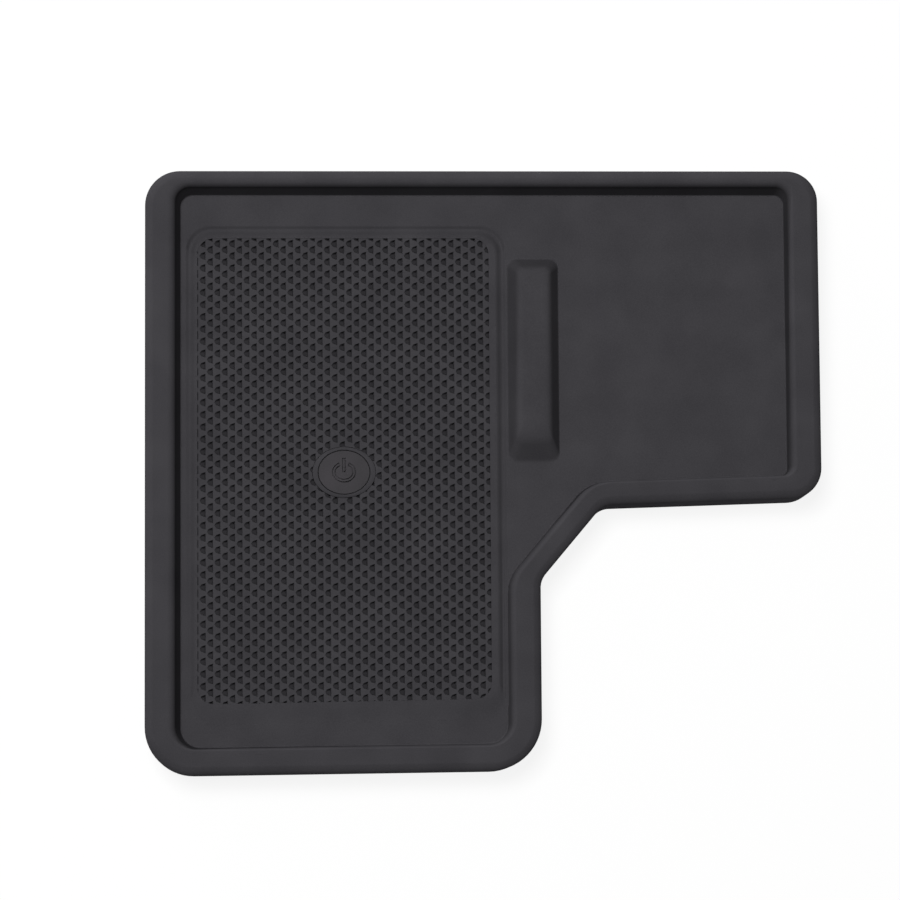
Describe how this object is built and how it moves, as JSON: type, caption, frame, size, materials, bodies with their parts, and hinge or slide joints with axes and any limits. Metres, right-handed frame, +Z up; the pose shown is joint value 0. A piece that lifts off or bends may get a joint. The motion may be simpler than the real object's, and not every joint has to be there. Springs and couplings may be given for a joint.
{
  "type": "wireless charging pad",
  "caption": "L-shaped soft-touch charging tray: raised rim, textured phone patch over a coil with an oval sprung power key at its middle, divider rib and plain storage bay.",
  "frame": {"origin": "middle of the footprint's bounding box, on the surface that the feet stand on", "axes": "+X along the back edge from the phone bay to the storage bay, +Y from the front of the phone bay to the back, +Z up"},
  "size_m": [0.2186, 0.1951, 0.0198],
  "materials": {
    "soft_touch": "matt dark grey soft-touch moulding with a fine speckle",
    "key_rubber": "matt dark grey key cap",
    "base_plastic": "fine-textured black moulding",
    "carrier_plastic": "natural grey-white moulding",
    "copper_wire": "enamelled copper wire",
    "ferrite": "dark sintered ferrite",
    "board_laminate": "green solder mask on glass laminate",
    "chip_resin": "black moulded resin",
    "steel": "plated steel",
    "capacitor_film": "brown film capacitor body",
    "cable_film": "amber polyimide film",
    "foot_rubber": "black rubber"
  },
  "bodies": {
    "pad": {"top_tray": "soft_touch", "button_bezel": "soft_touch", "switch_case": "chip_resin", "switch_snap_dome": "steel", "switch_board": "board_laminate", "charging_coil": "copper_wire", "ferrite_ring": "ferrite", "coil_holder": "carrier_plastic", "main_board": "board_laminate", "usb_socket_shell": "steel", "usb_socket_tongue": "chip_resin", "controller_chip": "chip_resin", "power_mosfet_1": "chip_resin", "power_mosfet_2": "chip_resin", "power_mosfet_3": "chip_resin", "power_mosfet_4": "chip_resin", "resonance_capacitor_1": "capacitor_film", "resonance_capacitor_2": "capacitor_film", "resonance_capacitor_3": "capacitor_film", "resonance_capacitor_4": "capacitor_film", "power_inductor": "ferrite", "ribbon_cable": "cable_film", "base_cover": "base_plastic", "base_screw_1": "steel", "base_screw_2": "steel", "base_screw_3": "steel", "base_screw_4": "steel", "base_screw_5": "steel", "base_screw_6": "steel", "board_screw_1": "steel", "board_screw_2": "steel", "board_screw_3": "steel", "board_screw_4": "steel", "rubber_foot_1": "foot_rubber", "rubber_foot_2": "foot_rubber", "rubber_foot_3": "foot_rubber", "rubber_foot_4": "foot_rubber", "rubber_foot_5": "foot_rubber", "rubber_foot_6": "foot_rubber"},
    "key": {"power_button": "key_rubber"},
    "plunger": {"switch_plunger": "carrier_plastic"}
  },
  "joints": [
    {"name": "key_press", "type": "slide", "parent": "pad", "child": "key", "axis": [0, 0, -1], "range_m": [0, 0.0005], "stiffness_N_per_m": 2000, "springref_m": -0.0002},
    {"name": "plunger_press", "type": "slide", "parent": "pad", "child": "plunger", "axis": [0, 0, -1], "range_m": [0, 0.0005]}
  ],
  "couplings": [
    {"joint": "plunger_press", "follows": "key_press", "ratio": 1}
  ]
}
